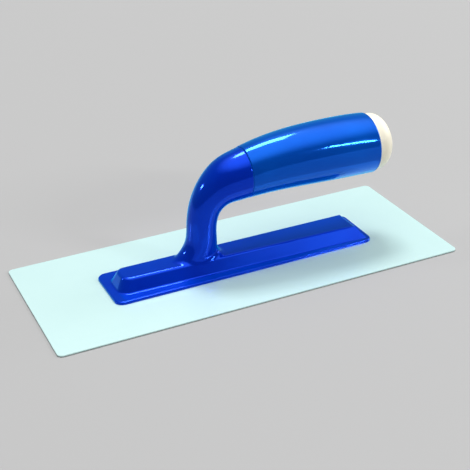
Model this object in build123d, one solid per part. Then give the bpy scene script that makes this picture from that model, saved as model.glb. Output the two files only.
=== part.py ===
from build123d import *
import os

# Finishing trowel: a thin steel blade, a moulded handle with a long foot, a grip sleeve and an end cap.
# Frame: origin on the blade's underside at its centre, +X along the blade towards the grip's free
# end, +Z up. Every dimension is in millimetres.

os.makedirs("parts", exist_ok=True)

# ---- Blade ----
BLADE_LENGTH = 280.0
BLADE_WIDTH = 120.0
BLADE_THICKNESS = 0.7
BLADE_CORNER_RADIUS = 3.5
BLADE_TOP = BLADE_THICKNESS

# ---- Foot: a flat flange with a hollow raised spine along it ----
FLANGE_FRONT_X = -89.8
FLANGE_REAR_X = 97.0
FLANGE_WIDTH = 43.4
FLANGE_THICKNESS = 1.9
FLANGE_TOP = BLADE_TOP + FLANGE_THICKNESS
FLANGE_CORNER_RADIUS = 6.0
FLANGE_EDGE_RADIUS = 1.0
# The spine's plan outlines, as (front x, rear x, half-width in front, half-width behind, nose radius).
SPINE_LOW = (-84.3, 93.6, 13.2, 18.3, 8.0)
SPINE_HIGH = (-79.8, 88.5, 8.4, 10.3, 5.5)
SPINE_FRONT_HEIGHT = 10.4
SPINE_REAR_HEIGHT = 8.6
SPINE_TOP = BLADE_TOP + SPINE_FRONT_HEIGHT
SPINE_EDGE_RADIUS = 2.6
SPINE_FOOT_RADIUS = 1.4
SPINE_WALL = 2.4
RIB_THICKNESS = 1.6
RIB_X = (-61.0, -39.0, 18.0, 54.0)

# ---- Studs on the blade's back, and the bosses that hold them ----
STUD_RADIUS = 1.5
STUD_HEIGHT = 5.2
STUD_BASE_RADIUS = 2.6
STUD_BASE_HEIGHT = 0.8
BARB_COUNT = 3
BARB_RADIUS = 1.8
BARB_HEIGHT = 0.9
BOSS_RADIUS = 3.6
BOSS_CLEARANCE = 0.06
BORE_END_GAP = 1.0
BASE_END_GAP = 0.2
STUD_PAIR_HALF_GAP = 8.0
SINGLE_STUD_X = (-72.0, -50.0)
PAIRED_STUD_X = (0.0, 36.0, 72.0)

# ---- Arm and grip: one round bar, in sections (x, z, radius) along its centre line ----
SEAM_X = 10.5
GRIP_AXIS_Z = 65.0
GRIP_END_X = 103.8
ARM_BASE = (-21.5, 9.0)
BAR_STATIONS = (
    (-21.0, 31.5, 10.0),
    (-18.0, 44.5, 10.7),
    (-9.0, 56.0, 13.5),
    (2.0, 61.3, 16.2),
    (16.0, 64.0, 17.7),
    (34.0, 65.9, 19.3),
    (58.0, 66.5, 20.6),
    (80.0, 66.1, 21.1),
    (GRIP_END_X, GRIP_AXIS_Z, 20.7),
)
# The arm is lofted past the seam and the sleeve from before it, so that they meet flush.
ARM_STATIONS = BAR_STATIONS[:6]
SLEEVE_STATIONS = BAR_STATIONS[3:]
# Where the arm flares into the spine: elliptical sections (z, centre x, half-length, half-width).
ROOT_SECTIONS = (
    (3.5, -32.5, 26.0, 9.0),
    (9.5, -26.6, 16.6, 9.1),
    (14.0, -24.6, 13.6, 9.4),
    (22.0, -21.9, 10.7, 9.8),
)
ROOT_EDGE_RADIUS = 6.0
SEAM_EDGE_RADIUS = 0.6
ARM_CORE_RADIUS = 5.0
ARM_CORE_TOP_Z = 38.0

# ---- Grip sleeve, and the stem inside it ----
SLEEVE_WALL = 3.2
SLEEVE_RIM_RADIUS = 1.4
STEM_STATIONS = ((2.0, 61.3, 12.4), (16.0, 64.0, 12.0), (34.0, 65.9, 11.0), (58.0, 66.5, 9.5))
STEM_TIP_X = 67.8
STEM_TIP_RADIUS = 9.0
STEM_TIP_OVERLAP = 4.0
WEB_FRONT_X = 68.0
WEB_THICKNESS = 3.6
WEB_REAR_X = WEB_FRONT_X + WEB_THICKNESS
WEB_RADIUS = 19.0

# ---- Screw and washer that hold the sleeve on the stem ----
WASHER_RADIUS = 6.5
WASHER_THICKNESS = 1.2
SCREW_HOLE_RADIUS = 2.8
SCREW_SHANK_RADIUS = 2.4
SCREW_SHANK_LENGTH = 28.0
SCREW_HEAD_RADIUS = 4.7
SCREW_HEAD_HEIGHT = 3.2
SCREW_RECESS_LENGTH = 5.0
SCREW_RECESS_WIDTH = 1.1
SCREW_RECESS_DEPTH = 1.6
PILOT_CLEARANCE = 0.06
PILOT_END_GAP = 1.0

# ---- End cap ----
CAP_BASE_RADIUS = 19.5
CAP_LAND = 3.5
CAP_DOME_HEIGHT = 15.4
CAP_SPIGOT_RADIUS = 17.0
CAP_SPIGOT_LENGTH = 10.0
CAP_WALL = 2.0

# How far a cutting shape runs past the face that it opens.
OVERRUN = 1.0


def station_plane(path, x, z):
    """The plane square to the centre line at a station."""
    where = path.param_at_point(Vector(x, 0, z))
    return Plane(path @ where, x_dir=(0, 1, 0), z_dir=path % where)


def centre_line():
    """The arm's and grip's centre line: it leaves the spine upright and ends level."""
    points = [(ARM_BASE[0], 0, ARM_BASE[1])] + [(x, 0, z) for x, z, _ in BAR_STATIONS]
    return Spline(*points, tangents=[(0, 0, 1), (1, 0, 0)])


def tube(path, stations, inset=0.0):
    """A round bar through the stations, of their radii less the inset."""
    return loft([station_plane(path, x, z) * Circle(radius - inset) for x, z, radius in stations])


def arm(path):
    """The arm in one loft, from the flare in the spine, longer in front than behind, past the seam."""
    sections = []
    for z, x, half_length, half_width in ROOT_SECTIONS:
        level = Plane((x, 0, z), x_dir=(0, 1, 0), z_dir=(0, 0, 1))
        sections.append(level * Ellipse(half_width, half_length))
    for x, z, radius in ARM_STATIONS:
        sections.append(station_plane(path, x, z) * Circle(radius))
    return loft(sections)


def seam_side(shape, keep):
    """The part of a shape before the seam (Keep.BOTTOM) or past it (Keep.TOP)."""
    return split(shape, Plane.YZ.offset(SEAM_X), keep=keep)


def bar(radius, start_x, end_x):
    """A straight round bar along the grip's axis."""
    section = Plane((start_x, 0, GRIP_AXIS_Z), z_dir=(1, 0, 0)) * Circle(radius)
    return extrude(section, end_x - start_x)


def post(radius, x, y, low_z, high_z):
    """An upright round post."""
    return extrude(Pos(x, y, low_z) * Circle(radius), high_z - low_z)


def stud_places():
    places = [(x, 0.0) for x in SINGLE_STUD_X]
    for x in PAIRED_STUD_X:
        places += [(x, -STUD_PAIR_HALF_GAP), (x, STUD_PAIR_HALF_GAP)]
    return places


def blade():
    return extrude(RectangleRounded(BLADE_LENGTH, BLADE_WIDTH, BLADE_CORNER_RADIUS), BLADE_THICKNESS)


def blade_studs():
    """Weld studs with a base flange and a barbed shank, one solid each."""
    barb_pitch = (STUD_HEIGHT - STUD_BASE_HEIGHT) / BARB_COUNT
    studs = []
    for x, y in stud_places():
        stud = post(STUD_BASE_RADIUS, x, y, BLADE_TOP, BLADE_TOP + STUD_BASE_HEIGHT)
        stud += post(STUD_RADIUS, x, y, BLADE_TOP, BLADE_TOP + STUD_HEIGHT)
        for barb in range(BARB_COUNT):
            barb_z = BLADE_TOP + STUD_BASE_HEIGHT + (barb + 0.5) * barb_pitch
            stud += Pos(x, y, barb_z) * Cone(BARB_RADIUS, STUD_RADIUS, BARB_HEIGHT)
        studs.append(stud)
    return Compound(studs)


def spine_outline(front_x, rear_x, front_half, rear_half, nose_radius, inset):
    """A plan outline with a blunt rounded nose, flaring sides and a square rear end."""
    face = make_face(
        Polyline(
            (front_x + inset, inset - front_half),
            (rear_x - inset, inset - rear_half),
            (rear_x - inset, rear_half - inset),
            (front_x + inset, front_half - inset),
            close=True,
        )
    )
    return fillet(face.vertices().sort_by(Axis.X)[:2], nose_radius - inset)


def spine(base_z, inset=0.0):
    """A hipped ridge: its outline on the flange lofted to the narrower one along its sloping top."""
    front_x, rear_x = SPINE_HIGH[:2]
    fall = Vector(rear_x - front_x, 0, SPINE_REAR_HEIGHT - SPINE_FRONT_HEIGHT).normalized()
    middle = Vector(
        (front_x + rear_x) / 2,
        0,
        BLADE_TOP + (SPINE_FRONT_HEIGHT + SPINE_REAR_HEIGHT) / 2 - inset,
    )
    ridge = Plane(middle, x_dir=fall, z_dir=fall.cross(Vector(0, 1, 0)))
    low = Pos(0, 0, base_z) * spine_outline(*SPINE_LOW, inset)
    high = ridge * Pos(-middle.X, 0, 0) * spine_outline(*SPINE_HIGH, inset)
    return loft([low, high], ruled=True)


def flange():
    length = FLANGE_REAR_X - FLANGE_FRONT_X
    middle_x = (FLANGE_REAR_X + FLANGE_FRONT_X) / 2
    outline = RectangleRounded(length, FLANGE_WIDTH, FLANGE_CORNER_RADIUS)
    plate = extrude(Pos(middle_x, 0, BLADE_TOP) * outline, FLANGE_THICKNESS)
    return fillet(plate.faces().sort_by(Axis.Z)[-1].edges(), FLANGE_EDGE_RADIUS)


def foot_hollow():
    """The space inside the spine, less the cross ribs and the stud bosses."""
    hollow = spine(BLADE_TOP, SPINE_WALL)
    for x in RIB_X:
        hollow -= Pos(x, 0, 0) * Box(RIB_THICKNESS, FLANGE_WIDTH, 2 * SPINE_TOP)
    for x, y in stud_places():
        hollow -= post(BOSS_RADIUS, x, y, 0, SPINE_TOP)
    return hollow


def handle_body(path):
    """One moulding: flange, spine, arm and the stem that enters the grip sleeve."""
    ridge = spine(FLANGE_TOP)
    ridge = fillet(ridge.faces().sort_by(Axis.Z)[-1].edges(), SPINE_EDGE_RADIUS)
    neck = seam_side(arm(path), Keep.BOTTOM)
    neck = fillet(neck.faces().sort_by(Axis.X)[-1].edges(), SEAM_EDGE_RADIUS)
    body = ridge + neck
    body = fillet(new_edges(ridge, neck, combined=body), ROOT_EDGE_RADIUS)
    body += flange()
    flange_top = body.faces().filter_by(Plane.XY).sort_by(Axis.Z)[-1]
    body = fillet(flange_top.inner_wires()[0].edges(), SPINE_FOOT_RADIUS)
    body += tube(path, STEM_STATIONS)
    body += bar(STEM_TIP_RADIUS, STEM_STATIONS[-1][0] - STEM_TIP_OVERLAP, STEM_TIP_X)
    body -= foot_hollow()
    body -= post(ARM_CORE_RADIUS, ARM_BASE[0], 0, 0, ARM_CORE_TOP_Z)
    bore_top = BLADE_TOP + STUD_HEIGHT + BORE_END_GAP
    seat_top = BLADE_TOP + STUD_BASE_HEIGHT + BASE_END_GAP
    for x, y in stud_places():
        body -= post(BARB_RADIUS + BOSS_CLEARANCE, x, y, 0, bore_top)
        body -= post(STUD_BASE_RADIUS + BOSS_CLEARANCE, x, y, 0, seat_top)
    pilot_start_x = WEB_REAR_X + WASHER_THICKNESS - SCREW_SHANK_LENGTH - PILOT_END_GAP
    body -= bar(SCREW_SHANK_RADIUS + PILOT_CLEARANCE, pilot_start_x, STEM_TIP_X + OVERRUN)
    return body


def grip_sleeve(path):
    """A tapered tube with a web across it that the screw pulls against the stem."""
    skin = seam_side(tube(path, SLEEVE_STATIONS), Keep.TOP)
    skin = fillet(skin.faces().sort_by(Axis.X)[0].edges(), SEAM_EDGE_RADIUS)
    skin = fillet(skin.faces().sort_by(Axis.X)[-1].edges(), SLEEVE_RIM_RADIUS)
    bore = seam_side(tube(path, SLEEVE_STATIONS, SLEEVE_WALL), Keep.TOP)
    bore -= bar(WEB_RADIUS, WEB_FRONT_X, WEB_REAR_X)
    return skin - bore - bar(SCREW_HOLE_RADIUS, WEB_FRONT_X - OVERRUN, WEB_REAR_X + OVERRUN)


def grip_washer():
    end_x = WEB_REAR_X + WASHER_THICKNESS
    hole = bar(SCREW_HOLE_RADIUS, WEB_REAR_X - OVERRUN, end_x + OVERRUN)
    return bar(WASHER_RADIUS, WEB_REAR_X, end_x) - hole


def grip_screw():
    """A pan-head screw with a cross recess, under the cap."""
    seat_x = WEB_REAR_X + WASHER_THICKNESS
    head_x = seat_x + SCREW_HEAD_HEIGHT
    head = bar(SCREW_HEAD_RADIUS, seat_x, head_x)
    head = fillet(head.edges().sort_by(Axis.X)[-1], SCREW_HEAD_HEIGHT / 2)
    screw = head + bar(SCREW_SHANK_RADIUS, seat_x - SCREW_SHANK_LENGTH, seat_x)
    screw = chamfer(screw.edges().sort_by(Axis.X)[0], SCREW_SHANK_RADIUS / 2)
    recess = Box(2 * SCREW_RECESS_DEPTH, SCREW_RECESS_LENGTH, SCREW_RECESS_WIDTH)
    recess += Box(2 * SCREW_RECESS_DEPTH, SCREW_RECESS_WIDTH, SCREW_RECESS_LENGTH)
    return screw - Pos(head_x, 0, GRIP_AXIS_Z) * recess


def end_cap():
    """A domed plug: a hollow spigot inside the sleeve under a dome that rests on its rim."""
    axis_plane = Plane((0, 0, GRIP_AXIS_Z), x_dir=(1, 0, 0), z_dir=(0, -1, 0))
    grip_axis = Axis((0, 0, GRIP_AXIS_Z), (1, 0, 0))
    dome_x = GRIP_END_X + CAP_LAND
    dome = EllipticalCenterArc((dome_x, 0), CAP_DOME_HEIGHT - CAP_LAND, CAP_BASE_RADIUS, 0, arc_size=90)
    edge = Polyline(dome @ 1, (GRIP_END_X, CAP_BASE_RADIUS), (GRIP_END_X, 0), dome @ 0)
    cap = revolve(axis_plane * make_face(dome + edge), grip_axis)
    start_x = GRIP_END_X - CAP_SPIGOT_LENGTH
    cap += bar(CAP_SPIGOT_RADIUS, start_x, GRIP_END_X)
    hollow = bar(CAP_SPIGOT_RADIUS - CAP_WALL, start_x - OVERRUN, GRIP_END_X + CAP_WALL)
    return cap - hollow


path = centre_line()
sub_parts = {
    "blade": blade(),
    "blade_studs": blade_studs(),
    "handle_body": handle_body(path),
    "grip_sleeve": grip_sleeve(path),
    "grip_washer": grip_washer(),
    "grip_screw": grip_screw(),
    "end_cap": end_cap(),
}
for node, shape in sub_parts.items():
    export_step(shape, f"parts/{node}.step")
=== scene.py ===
import math

import bpy
from mathutils import Matrix, Vector


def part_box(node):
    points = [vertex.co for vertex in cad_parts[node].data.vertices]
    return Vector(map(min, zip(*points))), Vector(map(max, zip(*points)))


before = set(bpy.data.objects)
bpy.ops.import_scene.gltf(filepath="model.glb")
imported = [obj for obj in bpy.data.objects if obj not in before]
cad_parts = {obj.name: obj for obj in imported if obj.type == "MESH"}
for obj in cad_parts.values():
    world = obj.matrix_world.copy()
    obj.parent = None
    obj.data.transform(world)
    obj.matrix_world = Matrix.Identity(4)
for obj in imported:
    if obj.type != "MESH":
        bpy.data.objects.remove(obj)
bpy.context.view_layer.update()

# Metres throughout, in the frame's own axes: +X along the blade, +Z up, the working face at z = 0.
# An azimuth runs from -Y towards +X, and an elevation up from level, both in degrees.

# ---- Camera ----
CAMERA_AZIMUTH = -23.3
CAMERA_ELEVATION = 27.05
CAMERA_ROLL = -2.65
CAMERA_DISTANCE = 0.7646
CAMERA_AIM_RIGHT = 0.0017
CAMERA_AIM_UP = 0.0169
CAMERA_LENS = 86.56
CAMERA_SENSOR = 36.0

# ---- Floor ----
FLOOR_SIZE = 8.0
FLOOR_GREY = 0.405
# Just under the working face, so that the two don't coincide.
FLOOR_Z = -0.0004

# ---- Surroundings: dark round the horizon, bright round one direction near the zenith ----
WORLD_DARK = 0.17
WORLD_BRIGHT = 2.05
WORLD_BRIGHT_WAY = (0.16, 0.0, 0.987)
WORLD_FADE_START = 0.64

# ---- Lamps, which all face a point inside the handle ----
LAMP_TARGET = (0.0, 0.0, 0.03)
LAMPS = (
    {
        "name": "softbox_key", "azimuth": 158.0, "elevation": 65.0, "distance": 5.0,
        "width": 1.5, "height": 1.1, "power": 130.0,
    },
    {
        "name": "softbox_right", "azimuth": 92.0, "elevation": 22.0, "distance": 3.0,
        "width": 1.2, "height": 1.4, "power": 24.0,
    },
    {
        "name": "strip_front", "azimuth": 35.0, "elevation": 24.0, "distance": 1.6,
        "width": 0.40, "height": 0.032, "power": 5.5, "tilt": -45.0,
    },
    {
        "name": "lamp_left", "azimuth": -114.0, "elevation": 24.0, "distance": 1.6,
        "width": 0.12, "height": 0.12, "power": 2.4,
    },
)

# ---- Colours, each as the darker and the lighter end of its own mottling ----
BLADE_COLOURS = ((0.63, 0.88, 0.865, 1.0), (0.66, 0.91, 0.895, 1.0))
HANDLE_COLOURS = ((0.0, 0.026, 0.60, 1.0), (0.0, 0.040, 0.68, 1.0))
# The grip sleeve's blue is a lighter, more azure copy of the handle's blue: painted light,
# standing in for the overhead light on the sleeve.
GRIP_COLOURS_PAINTED_LIT = ((0.0, 0.076, 0.58, 1.0), (0.0, 0.100, 0.66, 1.0))
CAP_COLOURS = ((0.90, 0.84, 0.66, 1.0), (0.97, 0.93, 0.78, 1.0))
STUD_TINT = (0.62, 0.63, 0.64)
WASHER_TINT = (0.70, 0.70, 0.71)
SCREW_TINT = (0.68, 0.69, 0.71)
# How dark the dull clouds in the zinc plating are, against its tint.
ZINC_DULLING = 0.82
BLUE_SHEEN_TINT = (0.0, 0.62, 1.0, 1.0)
BLUE_SPECULAR_TINT = (0.25, 0.72, 1.0, 1.0)

# The height that a bump texture's full range stands for.
FINE_BUMP = 0.00003
SKIN_BUMP = 0.00004

# The middle of a noise texture's range, where nearly all of its values lie.
NOISE_MIDDLE = (0.3, 0.7)
FULL_RANGE = (0.0, 1.0)


# ---------------------------------------------------------------- node helpers

class Shader:
    """A material's node tree, with short ways to add and link its nodes."""

    def __init__(self, name):
        self.material = bpy.data.materials.new(name)
        self.material.use_nodes = True
        self.tree = self.material.node_tree
        self.tree.nodes.clear()
        output = self.node("ShaderNodeOutputMaterial")
        self.surface = self.node("ShaderNodeBsdfPrincipled")
        self.link(self.surface.outputs["BSDF"], output.inputs["Surface"])
        self.place = self.node("ShaderNodeTexCoord").outputs["Object"]

    def node(self, kind, **settings):
        made = self.tree.nodes.new(kind)
        for key, value in settings.items():
            setattr(made, key, value)
        return made

    def link(self, source, target):
        self.tree.links.new(source, target)

    def feed(self, socket, value):
        """A socket's value: another node's output, or a constant."""
        if isinstance(value, bpy.types.NodeSocket):
            self.link(value, socket)
        else:
            socket.default_value = value

    def shade(self, values):
        """Feeds the surface's own sockets, by name."""
        for name, value in values.items():
            self.feed(self.surface.inputs[name], value)

    def stretched(self, scale):
        """The object's coordinates, scaled along each axis."""
        mapping = self.node("ShaderNodeMapping")
        self.link(self.place, mapping.inputs["Vector"])
        mapping.inputs["Scale"].default_value = scale
        return mapping.outputs["Vector"]

    def noise(self, scale=1.0, detail=3.0, roughness=0.5, at=None):
        made = self.node("ShaderNodeTexNoise")
        self.link(at or self.place, made.inputs["Vector"])
        made.inputs["Scale"].default_value = scale
        made.inputs["Detail"].default_value = detail
        made.inputs["Roughness"].default_value = roughness
        return made.outputs["Fac"]

    def remap(self, value, old, new):
        """The value moved from one range to another, and held inside it."""
        made = self.node("ShaderNodeMapRange", clamp=True)
        self.link(value, made.inputs["Value"])
        made.inputs["From Min"].default_value, made.inputs["From Max"].default_value = old
        made.inputs["To Min"].default_value, made.inputs["To Max"].default_value = new
        return made.outputs["Result"]

    def math(self, operation, first, second):
        made = self.node("ShaderNodeMath", operation=operation)
        self.feed(made.inputs[0], first)
        self.feed(made.inputs[1], second)
        return made.outputs["Value"]

    def plus(self, first, second, share):
        """The first value, and a share of the second."""
        return self.math("ADD", first, self.math("MULTIPLY", second, share))

    def blend(self, factor, colours):
        """A colour between two others."""
        made = self.node("ShaderNodeMix", data_type="RGBA")
        first, second = (socket for socket in made.inputs if socket.type == "RGBA")
        self.link(factor, made.inputs["Factor"])
        first.default_value, second.default_value = colours
        return next(socket for socket in made.outputs if socket.type == "RGBA")

    def bump(self, height, distance, strength):
        made = self.node("ShaderNodeBump")
        self.link(height, made.inputs["Height"])
        made.inputs["Distance"].default_value = distance
        made.inputs["Strength"].default_value = strength
        self.link(made.outputs["Normal"], self.surface.inputs["Normal"])


# ---------------------------------------------------------------- materials

def blade_steel():
    """Pale satin sheet steel, ground along its length, with faint mottling and stray scratches."""
    steel = Shader("blade_steel")
    grain = steel.noise(detail=4.0, roughness=0.6, at=steel.stretched((24.0, 2600.0, 2600.0)))
    mottle = steel.noise(scale=16.0, roughness=0.55)
    strays = steel.noise(detail=2.0, at=steel.stretched((130.0, 9.0, 60.0)))
    scratch = steel.remap(strays, (0.74, 0.79), FULL_RANGE)
    tone = steel.remap(steel.plus(mottle, grain, 0.35), (0.40, 0.95), FULL_RANGE)
    steel.shade({
        "Base Color": steel.blend(tone, BLADE_COLOURS),
        "Roughness": steel.plus(steel.remap(grain, NOISE_MIDDLE, (0.29, 0.33)), scratch, 0.06),
        "Metallic": 0.3,
    })
    steel.bump(steel.plus(grain, scratch, -0.2), FINE_BUMP, strength=0.035)
    return steel.material


def moulded_blue(name, colours):
    """Glossy moulded plastic: two close blues in slow clouds, with a faint orange-peel skin."""
    blue = Shader(name)
    cloud = blue.noise(scale=22.0)
    skin = blue.noise(scale=420.0, detail=2.0)
    smear = blue.noise(roughness=0.6, at=blue.stretched((40.0, 160.0, 160.0)))
    blue.shade({
        "Base Color": blue.blend(blue.remap(cloud, (0.35, 0.65), FULL_RANGE), colours),
        "Roughness": blue.remap(smear, NOISE_MIDDLE, (0.07, 0.12)),
        "Metallic": 0.4,
        "Sheen Weight": 1.0,
        "Sheen Roughness": 0.35,
        "Sheen Tint": BLUE_SHEEN_TINT,
        "Specular Tint": BLUE_SPECULAR_TINT,
    })
    blue.bump(skin, SKIN_BUMP, strength=0.25)
    return blue.material


def cap_cream():
    """Satin cream plastic with a fine speckle and a slightly uneven skin."""
    cream = Shader("cap_cream")
    speckle = cream.noise(scale=900.0, detail=2.0, roughness=0.6)
    cloud = cream.noise(scale=60.0)
    tone = cream.remap(cream.plus(cloud, speckle, 0.3), (0.45, 0.85), FULL_RANGE)
    cream.shade({
        "Base Color": cream.blend(tone, CAP_COLOURS),
        "Roughness": cream.remap(speckle, NOISE_MIDDLE, (0.36, 0.50)),
    })
    cream.bump(speckle, FINE_BUMP, strength=0.3)
    return cream.material


def plated_steel(name, tint):
    """Zinc-plated steel with turned rings of grain and duller clouds."""
    zinc = Shader(name)
    grain = zinc.noise(roughness=0.6, at=zinc.stretched((1800.0, 300.0, 300.0)))
    cloud = zinc.noise(scale=120.0, detail=2.0)
    dull = tuple(ZINC_DULLING * part for part in tint)
    zinc.shade({
        "Base Color": zinc.blend(cloud, (tint + (1.0,), dull + (1.0,))),
        "Roughness": zinc.remap(grain, NOISE_MIDDLE, (0.24, 0.40)),
        "Metallic": 1.0,
    })
    zinc.bump(grain, FINE_BUMP, strength=0.3)
    return zinc.material


def floor_paint():
    """Matt pale grey."""
    grey = Shader("floor_paint")
    grey.shade({
        "Base Color": (FLOOR_GREY, FLOOR_GREY, FLOOR_GREY, 1.0),
        "Roughness": 0.9,
        "Specular IOR Level": 0.1,
    })
    return grey.material


def dress(node, material):
    """Gives a CAD node its material."""
    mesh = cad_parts[node].data
    mesh.materials.clear()
    mesh.materials.append(material)


# ---------------------------------------------------------------- stage

def heading(azimuth, elevation):
    """The unit vector that points away from the object at these angles."""
    around, above = math.radians(azimuth), math.radians(elevation)
    return Vector((
        math.sin(around) * math.cos(above),
        -math.cos(around) * math.cos(above),
        math.sin(above),
    ))


def camera_axes():
    """The camera's right, up and backward directions."""
    back = heading(CAMERA_AZIMUTH, CAMERA_ELEVATION)
    level_right = (-back).cross(Vector((0, 0, 1))).normalized()
    level_up = level_right.cross(-back)
    roll = math.radians(CAMERA_ROLL)
    right = level_right * math.cos(roll) + level_up * math.sin(roll)
    up = level_up * math.cos(roll) - level_right * math.sin(roll)
    return right, up, back


def add_camera():
    right, up, back = camera_axes()
    blade_top = Vector((0, 0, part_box("blade")[1][2]))
    aim = blade_top + right * CAMERA_AIM_RIGHT + up * CAMERA_AIM_UP
    data = bpy.data.cameras.new("camera")
    data.lens = CAMERA_LENS
    data.sensor_width = CAMERA_SENSOR
    camera = bpy.data.objects.new("camera", data)
    turn = Matrix((right, up, back)).transposed().to_4x4()
    camera.matrix_world = Matrix.Translation(aim + back * CAMERA_DISTANCE) @ turn
    bpy.context.collection.objects.link(camera)
    bpy.context.scene.camera = camera


def add_floor():
    mesh = bpy.data.meshes.new("floor")
    half = FLOOR_SIZE / 2
    corners = [(-half, -half, 0), (half, -half, 0), (half, half, 0), (-half, half, 0)]
    mesh.from_pydata(corners, [], [(0, 1, 2, 3)])
    floor = bpy.data.objects.new("floor", mesh)
    floor.data.materials.append(floor_paint())
    floor.location.z = FLOOR_Z
    bpy.context.collection.objects.link(floor)


def add_lamp(name, azimuth, elevation, distance, width, height, power, tilt=0.0):
    """A rectangular lamp that faces the object, turned in its own plane by the tilt."""
    away = heading(azimuth, elevation)
    lamp = bpy.data.lights.new(name, "AREA")
    lamp.shape = "RECTANGLE"
    lamp.size = width
    lamp.size_y = height
    lamp.energy = power
    holder = bpy.data.objects.new(name, lamp)
    holder.location = Vector(LAMP_TARGET) + away * distance
    facing = (-away).to_track_quat("-Z", "Y").to_matrix()
    holder.rotation_euler = (facing @ Matrix.Rotation(math.radians(tilt), 3, "Z")).to_euler()
    bpy.context.collection.objects.link(holder)


def add_world():
    """Soft white studio surroundings."""
    world = bpy.data.worlds.new("studio")
    world.use_nodes = True
    tree = world.node_tree
    direction = tree.nodes.new("ShaderNodeTexCoord").outputs["Generated"]
    toward = tree.nodes.new("ShaderNodeVectorMath")
    toward.operation = "DOT_PRODUCT"
    toward.inputs[1].default_value = WORLD_BRIGHT_WAY
    tree.links.new(direction, toward.inputs[0])
    fade = tree.nodes.new("ShaderNodeMapRange")
    fade.interpolation_type = "SMOOTHSTEP"
    fade.inputs["From Min"].default_value = WORLD_FADE_START
    fade.inputs["From Max"].default_value = 1.0
    fade.inputs["To Min"].default_value = WORLD_DARK
    fade.inputs["To Max"].default_value = WORLD_BRIGHT
    tree.links.new(toward.outputs["Value"], fade.inputs["Value"])
    background = tree.nodes["Background"]
    tree.links.new(fade.outputs["Result"], background.inputs["Strength"])
    background.inputs["Color"].default_value = (1.0, 1.0, 1.0, 1.0)
    bpy.context.scene.world = world


add_camera()
add_floor()
add_world()
for settings in LAMPS:
    add_lamp(**settings)
bpy.context.scene.view_settings.view_transform = "Standard"

dress("blade", blade_steel())
dress("handle_body", moulded_blue("handle_blue", HANDLE_COLOURS))
# The sleeve gets the lighter copy of the blue, with the overhead light painted into it.
dress("grip_sleeve", moulded_blue("grip_blue", GRIP_COLOURS_PAINTED_LIT))
dress("end_cap", cap_cream())
dress("blade_studs", plated_steel("stud_steel", STUD_TINT))
dress("grip_washer", plated_steel("washer_steel", WASHER_TINT))
dress("grip_screw", plated_steel("screw_steel", SCREW_TINT))
